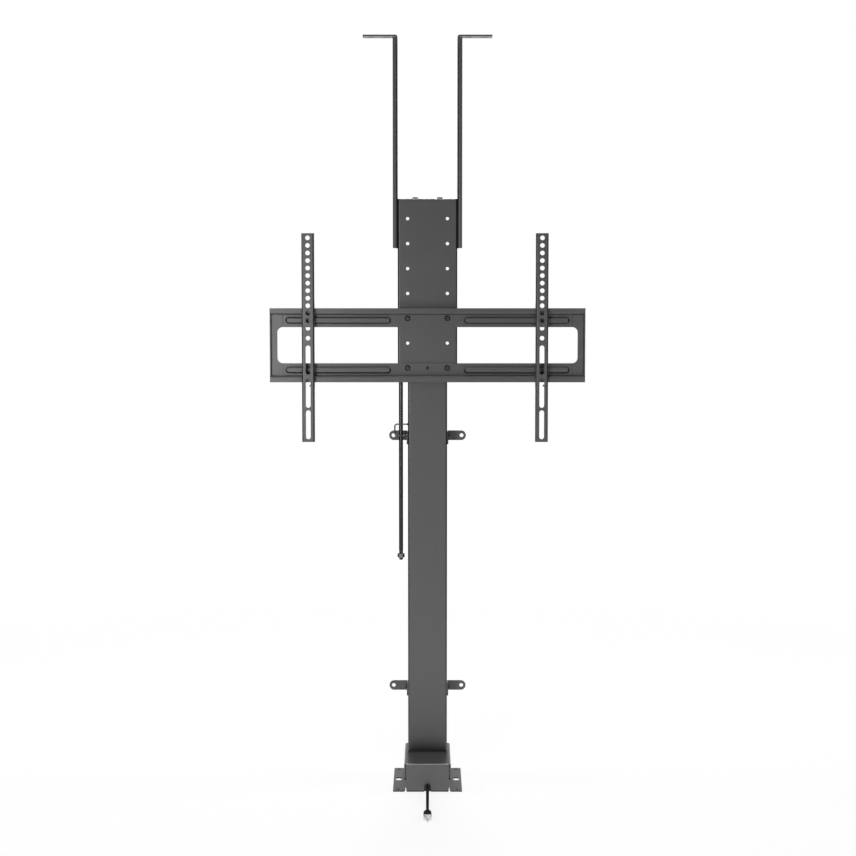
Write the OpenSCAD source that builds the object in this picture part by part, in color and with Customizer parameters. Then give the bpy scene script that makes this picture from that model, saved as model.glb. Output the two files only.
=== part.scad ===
// Motorised TV lift: a screw-driven telescopic column on a folded steel base, with a carriage that
// carries a TV bracket, two VESA arms and two cabinet lid arms. Origin on the floor under the middle
// of the base, X to the right, Y to the back, Z up. It is drawn part way up, as it is usually shown.

/* [Base] */
// Width of the base body over its side walls
base_w = 94; // [90:1:120]
// Depth of the base from its front panel to its rear panel
base_d = 176; // [165:1:220]
// Height of the base body above the floor
base_h = 57; // [55:1:80]
// Thickness of the base sheet
base_t = 2.5; // [2:0.1:3]
// Outer radius of the bends in the base sheet
base_bend = 4; // [3.5:0.5:5]
// Width over both foot flanges
foot_span = 139; // [135:1:180]
// Set-in of each side edge of the front and rear panels from the side wall's outer face
panel_inset = 3.5; // [3.2:0.1:4]
// How far the open corner seams run down from the top
seam_drop = 30; // [20:1:40]
// Width of the long slot in the middle of each foot
foot_slot_w = 12; // [8:0.5:12]
// Length of that slot
foot_slot_l = 22; // [16:1:30]
// How far that slot's middle lies behind the middle of the foot
foot_slot_back = 2; // [0:0.5:6]
// Diameter of the small screw holes at the ends of each foot
foot_hole_d = 7; // [5:0.5:8]
// Distance of those holes from the ends of the foot
foot_hole_edge = 11; // [8:1:20]
// Width of the cord notch in the front panel
notch_w = 13; // [11:0.5:14]
// Height of the cord's middle above the floor where it leaves the base
cord_z = 10; // [9:0.5:12]
// Thickness of the plate that closes the base from below
bottom_t = 2; // [1.5:0.1:2]

/* [Outer column] */
// Width of the outer column
outer_w = 80; // [76:1:86]
// Depth of the outer column
outer_d = 70; // [68:1:80]
// Wall of the outer column
outer_t = 2; // [1.5:0.1:2.5]
// Corner radius of the outer column
outer_corner = 4; // [3:0.5:6]
// Length of the outer column above the base
outer_len = 783; // [760:1:795]
// Distance of the column's back face from the rear of the base
column_back = 6; // [1:0.5:8]

/* [Inner column] */
// Width of the inner column
inner_w = 64; // [60:1:66]
// Depth of the inner column
inner_d = 54; // [50:1:56]
// Wall of the inner column
inner_t = 2; // [1.5:0.1:2.5]
// Corner radius of the inner column
inner_corner = 4; // [3:0.5:5]
// Length of the inner column
inner_len = 700; // [680:1:702]
// Height of each sliding collar between the two columns
glide_h = 40; // [30:1:60]

/* [Drive] */
// Diameter of the lead screw
screw_d = 16; // [14:0.5:18]
// Diameter of the motor
motor_d = 42; // [36:1:43]
// Length of the motor without its end cap
motor_len = 66; // [50:1:80]
// Distance between the worm's axis and the screw's axis
gear_centre = 20; // [20:0.5:20]
// Number of teeth on the worm wheel
wheel_teeth = 30; // [30:1:30]
// Width of the worm wheel's teeth
wheel_face = 12; // [8:1:12]
// Height of the gearbox without its cover
gearbox_h = 38; // [37:1:38]
// Thickness of the gearbox cover
gearbox_cover_t = 8; // [8:0.5:8.5]

/* [Carriage] */
// Width of the carriage plate
plate_w = 120; // [112:1:126]
// Height of the carriage plate
plate_h = 363; // [355:1:400]
// Thickness of the carriage sheet
plate_t = 3; // [2.5:0.1:3.5]
// Outer radius of the carriage's bends
plate_bend = 4; // [4:0.1:5]
// Height of the carriage's top above the floor as drawn
plate_top = 1190; // [1186:1:1195]
// Clear distance between the outer column and the back of the carriage plate
plate_gap = 21; // [16:0.5:26]
// Depth of the folded side walls, from the plate's front face
wall_d = 36; // [30:1:38]
// Diameter of the holes in the carriage plate
plate_hole_d = 6.5; // [6.5:0.1:8]
// Sideways distance between the two rows of holes
plate_hole_dx = 80; // [76:1:84]
// Pitch of the holes in each row
plate_pitch = 50; // [50:1:52]
// Number of holes in each row
plate_rows = 7; // [7:1:7]
// Height of the first holes above the plate's lower edge
plate_first = 23; // [15:1:30]

/* [TV bracket] */
// Length of the TV bracket
bracket_w = 635; // [600:1:700]
// Height of the TV bracket
bracket_h = 149; // [145:1:160]
// How far the bracket's middle lies below the middle of its four bolts
bracket_drop = 4; // [2:0.5:6]
// Thickness of the bracket sheet
bracket_t = 2; // [1.5:0.1:2.2]
// Height of the lip along each long edge
lip_h = 12.5; // [11:0.5:14]
// How far the lips stand in front of the bracket's face
lip_step = 10; // [9:0.5:14]
// Width of the post left beside the window at each end
post_w = 14.7; // [12:0.1:20]
// Height of the window
window_h = 72.8; // [65:0.1:74]
// Corner radius of the window
window_r = 11; // [6:0.5:15]
// Distance of each pressed rib's middle from the bracket's middle
rib_z = 50; // [50:0.1:52]
// Height of each pressed rib
rib_h = 14; // [10:0.5:14]
// How far a rib stands out of the face
rib_out = 4.5; // [2:0.1:5]
// Width of the sloping flank all round a rib
rib_slope = 2; // [1:0.1:2.5]
// Inner end of the ribs, measured from the middle of the bracket
rib_x0 = 73.5; // [66:0.5:90]
// Outer end of the ribs, measured from the middle of the bracket
rib_x1 = 286.5; // [270:0.5:290]

/* [VESA arms] */
// Length of a VESA arm
arm_len = 418; // [410:1:440]
// Width of a VESA arm
arm_w = 25; // [22:0.5:28]
// Thickness of the arm sheet
arm_t = 2.5; // [2:0.1:2.5]
// Height of an arm's lower end above the floor as drawn
arm_z0 = 702; // [695:1:705]
// How far the arm's face stands in front of the bracket's lips
arm_out = 15; // [12:0.5:20]
// Diameter of the round holes in an arm
arm_hole_d = 9.2; // [7:0.1:10]
// Pitch of the round holes
arm_pitch = 15; // [13:0.5:15]
// Number of round holes
arm_holes = 13; // [11:1:14]
// Distance of the first hole from the arm's upper end
arm_first = 9.4; // [8:0.1:14]
// Distance of the single hole below the first hole
arm_single = 200; // [195:1:202]
// Width of the slots in an arm
arm_slot_w = 9.6; // [8:0.1:11]
// Length of each of the three slots in an arm
arm_slot_l = 58.2; // [50:0.1:59]
// Distance of the lowest slot from the arm's lower end
arm_slot_first = 5.6; // [5:0.1:9]
// Web between the lowest and the middle slot
arm_slot_gap = 5.1; // [5:0.1:7]
// Web between the middle and the highest slot
arm_slot_gap_high = 8.7; // [7:0.1:9]
// Place of the left arm as drawn, sideways from the middle
left_arm_x = -239.5; // [-270:0.5:-90]
// Place of the right arm as drawn, sideways from the middle
right_arm_x = 229.5; // [90:0.5:270]

/* [Lid arms] */
// Thickness of the lid arm sheet
lid_t = 3; // [2.5:0.1:3.5]
// Outer radius of the lid arm's bends
lid_bend = 4; // [4:0.1:5]
// Width of a lid arm's front lip
lid_lip = 9.6; // [8:0.1:14]
// Depth of a lid arm from front to back
lid_d = 30; // [24:1:31]
// How far a lid arm reaches down beside the carriage
lid_overlap = 99; // [90:1:120]
// How far a lid arm rises above the carriage
lid_rise = 325; // [250:0.5:400]
// Length of the flange that the cabinet lid is screwed to
lid_flange = 69.5; // [50:0.5:90]
// Distance of the flange's inner slot from the bend
lid_slot_in = 22; // [16:1:24]
// Distance of the flange's outer slot from the free end
lid_slot_out = 16; // [10:1:18]
// Length of a flange slot
lid_slot_l = 14; // [8:1:16]
// Width of a flange slot
lid_slot_w = 6; // [4:0.5:8]
// Height of the lower carriage bolt above the lid arm's lower end
lid_bolt_low = 18; // [14:1:24]
// Distance between the two carriage bolts of a lid arm
lid_bolt_span = 56; // [40:1:60]

/* [Wall tabs] */
// Height of a wall tab's strip
tab_h = 20; // [16:1:26]
// Thickness of a wall tab
tab_t = 3; // [2.5:0.1:3]
// Sideways reach of a wall tab beyond the column
tab_reach = 39.6; // [35:0.1:45]
// Diameter of the screw hole in a wall tab
tab_hole_d = 8; // [6:0.5:9]
// Height of the lower wall tabs above the floor
tab_low_z = 182; // [150:1:250]
// Distance between the lower and the upper wall tabs
tab_span = 525; // [500:1:530]

/* [Stop rod] */
// Diameter of the stop rod
rod_d = 8.4; // [7.8:0.1:9]
// Sideways place of the rod, from the middle
rod_x = 54.6; // [53:0.1:55]
// Height of the rod's lower tip above the floor as drawn
rod_tip_z = 452; // [440:1:470]
// Diameter of the guide wire on the column
wire_d = 3; // [2.5:0.1:4]
// Distance of the guide wire's upper run below the outer column's top
wire_drop = 107; // [105:1:109]
// Distance between the guide wire's two runs
wire_span = 23.5; // [20:0.5:24]

/* [Power cord] */
// Diameter of the power cord
cord_d = 6; // [5:0.5:7]
// Length of the moulded strain relief
relief_len = 40; // [20:1:40]

/* [Hidden] */
$fn = 48;
// Small overlap that lets a cut run past a face
eps = 0.1;
// Gap between a fastener and its hole, and between a piece and the seat that it drops into
seat_gap = 0.2;
// Running fit of a shaft in its bearing or nut, on the radius
run_fit = 0.05;
// Sliding gap between a collar and the tube that runs in it, on each side
slide_gap = 0.25;
// Small gap between welded or clamped faces on curved pieces
face_gap = 0.1;

// Finishes
coat = [0.35, 0.35, 0.36];
coat_light = [0.43, 0.43, 0.44];
steel = [0.72, 0.73, 0.74];
dark_steel = [0.12, 0.12, 0.13];
plastic = [0.08, 0.08, 0.08];
bronze = [0.72, 0.55, 0.3];

// Places that follow from the driving sizes
col_y = base_d / 2 - column_back - outer_d / 2;
outer_top = base_h + outer_len;
plate_back_y = col_y - outer_d / 2 - plate_gap;
plate_y = plate_back_y - plate_t;
plate_z0 = plate_top - plate_h;
inner_top = plate_top - plate_t;
inner_z0 = inner_top - inner_len;
bracket_bolt_z = plate_z0 + plate_first + plate_pitch;
bracket_z = bracket_bolt_z - bracket_drop;
bracket_face_y = plate_y - bracket_t;
lip_y = bracket_face_y - lip_step;
arm_y = lip_y - arm_out;
lid_x = plate_w / 2 + face_gap;
lid_z0 = plate_top - lid_overlap;
lid_z1 = plate_top + lid_rise;

wire_z = outer_top - wire_drop;

// Travel of the carriage from the drawn place
lift_up = 210;

// Gearbox, hung under the top of the base
gearbox_top = base_h - base_t;
gearbox_z0 = gearbox_top - gearbox_h;
gearbox_cover_z0 = gearbox_z0 - gearbox_cover_t;
gearbox_wall = 4;
gearbox_half_x = 38;
gearbox_half_y = 27;
bearing_d = 28;
bearing_bore_d = 12;
bearing_h = 8;
top_bearing_z = gearbox_top - gearbox_wall - bearing_h;
low_bearing_z = gearbox_cover_z0 + 2;
low_bearing_top = low_bearing_z + bearing_h;
drive_z = (low_bearing_top + top_bearing_z) / 2;
gear_module = 2 * gear_centre / (wheel_teeth + 10);
worm_pitch_d = 10 * gear_module;
wheel_tip_r = gear_module * (wheel_teeth + 2) / 2;
wheel_root_r = gear_module * (wheel_teeth - 2.5) / 2;
worm_core_r = worm_pitch_d / 2 - 1.25 * gear_module;
worm_bearing_d = 16;
worm_bearing_bore_d = 8;
worm_bearing_w = 5;
worm_bearing_y = 18;
motor_shaft_d = 6;
motor_x = -gear_centre;
motor_y1 = col_y - gearbox_half_y;
motor_y0 = motor_y1 - motor_len;
end_cap_len = 8;
column_screw_x = 33;
column_screw_y = 21;
screw_z0 = low_bearing_z + 0.3;
nut_h = 32;
nut_flange_h = 4;
screw_top = inner_z0 + lift_up + nut_h + 15;

// Gland, relief, cord and plug
gland_r = notch_w / 2 - 0.3;
gland_y = -base_d / 2 - 2;
plug_len = 45;
plug_w = 15.6;
plug_h = 12.5;
plug_face_t = 1.5;
plug_corner = 3;
// Gap between the cord's end of the plug and its round back
plug_neck = 5;
blade_pitch = 12.7;
blade_w = 6.35;
blade_t = 1.5;
blade_len = 16;
ground_pin_d = 4.8;
ground_pin_len = 19;
// Route of the cord's middle on the floor, from the relief's end to the plug
cord_route = [
  [0, -130, 10], [0, -138, 9.6], [0, -146, 8.6], [0, -154, 7.2], [0, -162, 5.8], [0, -170, 4.6],
  [0, -178, 3.7], [0, -186, 3.2], [0, -194, 3.1], [0, -202, 3.1], [0, -210, 3.2], [0, -218, 3.6],
  [0, -226, 4.3], [0, -234, 5.2], [0, -240, 5.9], [0, -246, 6.2]
];
plug_y = cord_route[len(cord_route) - 1][1];

// Screw sizes
m4 = 4;
m5 = 5;
m6 = 6;
// Heads and nuts of the M6 screws: across the flats, hexagon height, button head
m6_af = 10;
m6_hex_h = 4;
m6_button_d = 11.4;
m6_button_h = 3.3;

// Building blocks for folded sheet, drawn in two dimensions

// Quarter of a bend: outer radius r, sheet t, in the quadrant where both axes are positive
module bend_2d(r, t) {
  intersection() {
    difference() {
      circle(r = r);
      circle(r = r - t);
    }
    square(r);
  }
}

// Angle section: legs a along x and b along y, with the outer corner at the origin
module angle_2d(a, b, t, r) {
  translate([r, r]) rotate(180) bend_2d(r, t);
  translate([r, 0]) square([a - r, t]);
  translate([0, r]) square([t, b - r]);
}

// Rectangle with round corners, centred
module round_rect_2d(w, d, r) {
  square([w - 2 * r, d], center = true);
  square([w, d - 2 * r], center = true);
  for (sx = [-1, 1], sy = [-1, 1]) {
    translate([sx * (w / 2 - r), sy * (d / 2 - r)]) circle(r = r);
  }
}

// Slot with round ends, centred, its length along x
module slot_2d(l, w) {
  square([l - w, w], center = true);
  for (sx = [-1, 1]) {
    translate([sx * (l - w) / 2, 0]) circle(d = w);
  }
}

// Extrusion along Y of a shape drawn in x and z, centred on Y
module along_y(length) {
  rotate([90, 0, 0]) linear_extrude(height = length, center = true) children();
}

// Extrusion along X of a shape drawn in y and z, centred on X
module along_x(length) {
  rotate([90, 0, 90]) linear_extrude(height = length, center = true) children();
}

// Cylinder along Y from y0 to y1
module rod_y(d, y0, y1) {
  translate([0, y0, 0]) rotate([-90, 0, 0]) cylinder(d = d, h = y1 - y0);
}

// Cylinder along X from x0 to x1
module rod_x_dir(d, x0, x1) {
  translate([x0, 0, 0]) rotate([0, 90, 0]) cylinder(d = d, h = x1 - x0);
}

// Closed tube of rectangular section with round corners
module box_tube(w, d, t, r, length) {
  linear_extrude(height = length) difference() {
    round_rect_2d(w, d, r);
    round_rect_2d(w - 2 * t, d - 2 * t, r - t);
  }
}

// Hexagonal prism across flats af, standing on the origin
module hex(af, h) {
  cylinder(d = af / cos(30), h = h, $fn = 6);
}

// Hexagon nut of thread size d, with its bore
module hex_nut(d, af, h) {
  difference() {
    hex(af, h);
    translate([0, 0, -eps]) cylinder(d = d + seat_gap, h = h + 2 * eps);
  }
}

// Button head screw: head on top of the origin, shank below it
module button_screw(d, head_d, head_h, shank) {
  difference() {
    union() {
      cylinder(d1 = head_d, d2 = head_d * 0.62, h = head_h);
      translate([0, 0, -shank]) cylinder(d = d, h = shank + eps);
    }
    translate([0, 0, head_h * 0.35]) hex(head_d * 0.36, head_h);
  }
}

// Hexagon head bolt: head on top of the origin, shank below it
module hex_bolt(d, af, head_h, shank) {
  hex(af, head_h);
  translate([0, 0, -shank]) cylinder(d = d, h = shank + eps);
}

// Countersunk screw: head flush with the origin and below it, then the shank
module flush_screw(d, head_d, shank) {
  head_h = (head_d - d) / 2;
  difference() {
    union() {
      translate([0, 0, -head_h]) cylinder(d1 = d, d2 = head_d, h = head_h);
      translate([0, 0, -shank]) cylinder(d = d, h = shank - head_h + eps);
    }
    translate([0, 0, -head_h * 0.8]) hex(head_d * 0.36, head_h);
  }
}

// Insides of the two column tubes, less a gap all round
module outer_bore_2d(gap) {
  round_rect_2d(outer_w - 2 * (outer_t + gap), outer_d - 2 * (outer_t + gap), outer_corner - outer_t);
}

module inner_bore_2d(gap) {
  round_rect_2d(inner_w - 2 * (inner_t + gap), inner_d - 2 * (inner_t + gap), inner_corner - inner_t);
}

// Positions shared by pieces that are screwed together
module at_column_screws() {
  for (sx = [-1, 1], sy = [-1, 1]) {
    translate([sx * column_screw_x, col_y + sy * column_screw_y, 0]) children();
  }
}

bottom_screw_inset = 52;
bottom_screw_y = base_d / 2 - bottom_screw_inset;
bottom_head_d = 7.5;
bottom_lift = 0.4;
bottom_lip_h = 14;
// Clear corner of the bottom plate beside each slit of the housing
bottom_corner_x = 6;
bottom_corner_y = 40;
bottom_screw_z = 9.5;
module at_bottom_screws() {
  for (sx = [-1, 1], sy = [-1, 1]) {
    translate([sx * base_w / 2, sy * bottom_screw_y, bottom_screw_z]) rotate([0, sx * 90, 0]) children();
  }
}

// Base

// Half of the section through the top, a side wall and a foot
module base_half_2d() {
  foot_x = base_w / 2 - base_t + base_bend;
  translate([0, base_h - base_t]) square([base_w / 2 - base_bend, base_t]);
  translate([base_w / 2 - base_bend, base_h - base_bend]) bend_2d(base_bend, base_t);
  translate([base_w / 2 - base_t, base_bend]) square([base_t, base_h - 2 * base_bend]);
  translate([foot_x, base_bend]) rotate(180) bend_2d(base_bend, base_t);
  translate([foot_x, 0]) square([foot_span / 2 - foot_x, base_t]);
}

module base_section_2d() {
  for (side = [0, 1]) {
    mirror([side, 0]) base_half_2d();
  }
}

// Section through the front panel, the top and the rear panel
module base_panels_2d() {
  for (side = [0, 1]) {
    mirror([side, 0]) {
      translate([0, base_h - base_t]) square([base_d / 2 - base_bend, base_t]);
      translate([base_d / 2 - base_bend, base_h - base_bend]) bend_2d(base_bend, base_t);
      translate([base_d / 2 - base_t, 0]) square([base_t, base_h - base_bend]);
    }
  }
}

seam_z = base_h - seam_drop;
seam_end_d = 5;
// Slit between the panels and the feet: its height and where its two sides start
slit_h = 10;
slit_in = 2.6;
slit_out = 1.2;
module base_housing() {
  inner_half = base_w / 2 - base_t;
  color(coat) difference() {
    union() {
      along_y(base_d - 2 * base_bend) base_section_2d();
      along_y(base_d) intersection() {
        base_section_2d();
        translate([-foot_span, 0]) square([2 * foot_span, base_h - base_bend]);
      }
      along_x(base_w - 2 * panel_inset) base_panels_2d();
      for (sy = [-1, 1]) {
        translate([-inner_half, sy * (base_d / 2 - base_t / 2) - base_t / 2, 0])
          cube([2 * inner_half, base_t, seam_z]);
      }
    }
    // Round ends of the corner seams and the V slits beside the front panel
    for (sx = [-1, 1], sy = [-1, 1]) {
      translate([sx * (inner_half + 0.5), sy * (base_d / 2 - base_t / 2), seam_z])
        rotate([90, 0, 0]) cylinder(d = seam_end_d, h = base_t + 2 * eps, center = true);
      translate([sx * inner_half, sy * (base_d / 2 - base_t / 2), 0])
        along_y(base_t + 2 * eps)
          polygon([[-sx * slit_in, -eps], [sx * slit_out, -eps], [sx * (slit_out - slit_in) / 2, slit_h]]);
    }
    // Cord notch
    translate([0, -base_d / 2 + base_t / 2, cord_z]) along_y(base_t + 2 * eps) {
      circle(d = notch_w);
      translate([-notch_w / 2, -cord_z - eps]) square([notch_w, cord_z + eps]);
    }
    // Screw passage and column screws through the top
    translate([0, col_y, base_h - base_t - eps]) cylinder(d = screw_d + 8, h = base_t + 2 * eps);
    translate([0, 0, base_h - base_t - eps]) at_column_screws()
      cylinder(d = m6 + 0.6, h = base_t + 2 * eps);
    // Screws of the bottom plate through the side walls
    at_bottom_screws() {
      translate([0, 0, -base_t - eps]) cylinder(d = m4 + 0.4, h = base_t + 2 * eps);
      translate([0, 0, -bottom_head_d / 2])
        cylinder(d1 = 0, d2 = bottom_head_d + seat_gap, h = (bottom_head_d + seat_gap) / 2);
    }
    // Slots and holes in the feet
    for (sx = [-1, 1]) {
      translate([sx * foot_hole_x, 0, -eps]) {
        translate([0, foot_slot_back, 0]) rotate(90) linear_extrude(height = base_t + 2 * eps)
          slot_2d(foot_slot_l, foot_slot_w);
        for (sy = [-1, 1]) {
          translate([0, sy * (base_d / 2 - foot_hole_edge), 0])
            cylinder(d = foot_hole_d, h = base_t + 2 * eps);
        }
      }
    }
  }
}
foot_hole_x = (base_w + foot_span) / 4 + 1;

module base_bottom_plate() {
  w = base_w - 2 * base_t - 2 * seat_gap;
  d = base_d - 2 * base_t - 2 * seat_gap;
  color(coat) difference() {
    union() {
      translate([-w / 2, -d / 2, bottom_lift]) cube([w, d, bottom_t]);
      for (sx = [-1, 1]) {
        translate([sx * (w / 2 - bottom_t / 2) - bottom_t / 2, -d / 2, bottom_lift])
          cube([bottom_t, d, bottom_lip_h]);
      }
    }
    at_bottom_screws() translate([0, 0, -base_t - seat_gap - bottom_t - eps])
      cylinder(d = m4 + 0.4, h = bottom_t + 2 * eps);
    for (sx = [-1, 1], sy = [-1, 1]) {
      translate([sx * w / 2, sy * d / 2, 0])
        cube([2 * bottom_corner_x, 2 * bottom_corner_y, 2 * (bottom_lift + bottom_lip_h) + eps],
          center = true);
    }
  }
}

module bottom_plate_screws() {
  color(dark_steel) at_bottom_screws()
    flush_screw(m4, bottom_head_d, base_t + seat_gap + bottom_t + 0.2);
}

// Gearbox, motor and electronics inside the base

module gearbox_housing() {
  color(steel) difference() {
    translate([-gearbox_half_x, col_y - gearbox_half_y, gearbox_z0])
      cube([2 * gearbox_half_x, 2 * gearbox_half_y, gearbox_h]);
    // Room for the wheel, open below, and the upper bearing's seat
    translate([0, col_y, gearbox_z0 - eps]) {
      cylinder(r = wheel_tip_r + 1.5, h = top_bearing_z - gearbox_z0 + eps);
      cylinder(d = bearing_d + 2 * run_fit, h = top_bearing_z + bearing_h - gearbox_z0 + eps);
      cylinder(d = screw_d + 4, h = gearbox_h + 2 * eps);
    }
    // Tunnel of the worm, with a bearing seat at each end
    translate([motor_x, col_y, drive_z]) {
      rod_y(worm_pitch_d + 2 * gear_module + 2, -worm_bearing_y, worm_bearing_y);
      rod_y(worm_bearing_bore_d + 1, -gearbox_half_y - eps, worm_bearing_y + worm_bearing_w + 1);
      for (y = [-worm_bearing_y - worm_bearing_w, worm_bearing_y]) {
        rod_y(worm_bearing_d + 2 * run_fit, y, y + worm_bearing_w);
      }
    }
    translate([0, 0, gearbox_z0 - eps]) at_column_screws()
      cylinder(d = m6 + 0.4, h = gearbox_h + 2 * eps);
  }
}

module gearbox_cover() {
  color(steel) difference() {
    translate([-gearbox_half_x, col_y - gearbox_half_y, gearbox_cover_z0])
      cube([2 * gearbox_half_x, 2 * gearbox_half_y, gearbox_cover_t]);
    translate([0, col_y, low_bearing_z])
      cylinder(d = bearing_d + 2 * run_fit, h = gearbox_cover_t);
    translate([0, 0, gearbox_cover_z0 - eps]) at_column_screws()
      cylinder(d = m6 + 0.4, h = gearbox_cover_t + 2 * eps);
  }
}

// Plain ring that stands for a ball bearing, on the origin
module bearing_ring(d, bore, h) {
  difference() {
    cylinder(d = d, h = h);
    translate([0, 0, -eps]) cylinder(d = bore + 2 * run_fit, h = h + 2 * eps);
  }
}

module screw_bearings() {
  color("silver") for (z = [low_bearing_z, top_bearing_z]) {
    translate([0, col_y, z]) bearing_ring(bearing_d, bearing_bore_d, bearing_h);
  }
}

module worm_bearings() {
  color("silver") for (y = [-worm_bearing_y - worm_bearing_w, worm_bearing_y]) {
    translate([motor_x, col_y + y, drive_z]) rotate([-90, 0, 0])
      bearing_ring(worm_bearing_d, worm_bearing_bore_d, worm_bearing_w);
  }
}

module motor_can() {
  color(dark_steel) translate([motor_x, 0, drive_z]) difference() {
    rod_y(motor_d, motor_y0, motor_y1);
    rod_y(motor_d - 4, motor_y0 - eps, motor_y1 - 3);
    rod_y(worm_bearing_bore_d + 1, motor_y0, motor_y1 + eps);
  }
}

module motor_end_cap() {
  color(plastic) translate([motor_x, 0, drive_z]) difference() {
    union() {
      rod_y(motor_d, motor_y0 - end_cap_len, motor_y0);
      rod_y(motor_d - 4 - 2 * seat_gap, motor_y0 - eps, motor_y0 + 4);
    }
    rod_y(motor_shaft_d + 2 * run_fit, motor_y0 - end_cap_len + 2, motor_y0 + 4 + eps);
  }
}

magnet_r = motor_d / 2 - 2 - 2 * face_gap;
rotor_r = magnet_r - 5;
module motor_magnets() {
  color([0.3, 0.3, 0.32]) translate([motor_x, 0, drive_z]) difference() {
    rod_y(2 * magnet_r, motor_y0 + 10, motor_y1 - 8);
    rod_y(2 * (rotor_r + 1), motor_y0 + 9, motor_y1 - 7);
    for (sz = [-1, 1]) {
      translate([-4, motor_y0, sz > 0 ? 0 : -motor_d]) cube([8, motor_len, motor_d]);
    }
  }
}

module motor_rotor() {
  color("sienna") translate([motor_x, 0, drive_z]) difference() {
    rod_y(2 * rotor_r, motor_y0 + 10, motor_y1 - 8);
    rod_y(motor_shaft_d + 2 * run_fit, motor_y0 + 9, motor_y1 - 7);
    // Winding slots
    for (a = [0:60:359]) {
      rotate([0, a, 0]) translate([rotor_r - 4, motor_y0, -1.2]) cube([6, motor_len, 2.4]);
    }
  }
}

module worm_shaft() {
  color(steel) translate([motor_x, col_y, drive_z]) {
    rod_y(2 * worm_core_r, -worm_bearing_y + 1, worm_bearing_y - 1);
    rod_y(worm_bearing_bore_d, worm_bearing_y - 1, worm_bearing_y + worm_bearing_w + 0.5);
    rod_y(worm_bearing_bore_d, -gearbox_half_y + 0.5, -worm_bearing_y + 1);
    rod_y(motor_shaft_d, motor_y0 - end_cap_len + 2.5 - col_y, -gearbox_half_y + 0.5);
  }
}

module worm_wheel() {
  hub_z0 = low_bearing_top + seat_gap;
  hub_z1 = top_bearing_z - seat_gap;
  color(bronze) translate([0, col_y, 0]) difference() {
    union() {
      translate([0, 0, hub_z0]) cylinder(d = bearing_bore_d + 7, h = hub_z1 - hub_z0);
      translate([0, 0, drive_z - wheel_face / 2]) cylinder(r = wheel_root_r, h = wheel_face);
    }
    translate([0, 0, hub_z0 - eps])
      cylinder(d = bearing_bore_d + 2 * run_fit, h = hub_z1 - hub_z0 + 2 * eps);
  }
}

box_x0 = motor_x + motor_d / 2 + 3;
box_x1 = base_w / 2 - base_t - seat_gap - bottom_t - 0.6;
box_y0 = -base_d / 2 + base_t + 6;
box_y1 = motor_y1 - 4;
box_z0 = bottom_lift + bottom_t + seat_gap;
box_z1 = base_h - base_t - 8;
box_wall = 2;
module control_box() {
  color(plastic) difference() {
    translate([box_x0, box_y0, box_z0]) cube([box_x1 - box_x0, box_y1 - box_y0, box_z1 - box_z0]);
    translate([box_x0 + box_wall, box_y0 + box_wall, box_z0 + box_wall])
      cube([box_x1 - box_x0 - 2 * box_wall, box_y1 - box_y0 - 2 * box_wall, box_z1]);
  }
}

module control_box_lid() {
  color(plastic) {
    translate([box_x0, box_y0, box_z1 + face_gap]) cube([box_x1 - box_x0, box_y1 - box_y0, box_wall]);
    translate([box_x0 + box_wall + seat_gap, box_y0 + box_wall + seat_gap, box_z1 - 3])
      cube([box_x1 - box_x0 - 2 * (box_wall + seat_gap), box_y1 - box_y0 - 2 * (box_wall + seat_gap), 3.5]);
  }
}

module circuit_board() {
  w = box_x1 - box_x0 - 2 * (box_wall + seat_gap);
  l = box_y1 - box_y0 - 2 * (box_wall + seat_gap);
  color("darkgreen") translate([box_x0 + box_wall + seat_gap, box_y0 + box_wall + seat_gap, 0]) {
    translate([0, 0, box_z0 + box_wall]) cube([w, l, 4]);
    translate([w * 0.15, l * 0.1, box_z0 + box_wall + 3.9]) cube([w * 0.6, l * 0.3, 16]);
    translate([w * 0.15, l * 0.5, box_z0 + box_wall + 3.9]) cube([w * 0.35, l * 0.2, 14]);
    translate([w * 0.7, l * 0.6, box_z0 + box_wall + 3.9]) cylinder(d = 8, h = 18);
    translate([w * 0.7, l * 0.8, box_z0 + box_wall + 3.9]) cylinder(d = 8, h = 18);
  }
}

// Power cord

module cord_gland() {
  color(plastic) translate([0, 0, cord_z]) difference() {
    union() {
      rod_y(2 * gland_r, gland_y, -base_d / 2 + base_t + 3);
      rod_y(2 * (notch_w / 2 + 0.9), -base_d / 2 + base_t + seat_gap, -base_d / 2 + base_t + 3);
    }
    rod_y(cord_d, gland_y + 3, 0);
  }
}

module cord_relief() {
  color(plastic) translate([0, gland_y, cord_z]) rotate([90, 0, 0])
    cylinder(d1 = cord_d + 1.6, d2 = cord_d + 0.4, h = relief_len);
}

// Ring of points round one point of a route, square to the way it runs there
function unit(v) = v / norm(v);
function route_dir(p, i) = unit(p[min(i + 1, len(p) - 1)] - p[max(i - 1, 0)]);
function route_ring(p, i, r, n) =
  let (dir = route_dir(p, i), u = [1, 0, 0], v = unit(cross(dir, u)))
  [for (k = [0:n - 1]) p[i] + r * (cos(360 * k / n) * u + sin(360 * k / n) * v)];

// Tube of radius r swept along a route with n sides
module swept_tube(route, r, n) {
  count = len(route);
  points = [for (i = [0:count - 1]) each route_ring(route, i, r, n)];
  sides = [
    for (i = [0:count - 2], k = [0:n - 1])
      each [
        [i * n + k, i * n + (k + 1) % n, (i + 1) * n + (k + 1) % n],
        [i * n + k, (i + 1) * n + (k + 1) % n, (i + 1) * n + k]
      ]
  ];
  ends = [[for (k = [n - 1:-1:0]) k], [for (k = [0:n - 1]) (count - 1) * n + k]];
  polyhedron(points = points, faces = concat(sides, ends), convexity = 4);
}

module power_cord() {
  color(plastic) swept_tube(cord_route, cord_d / 2, 10);
}

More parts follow.
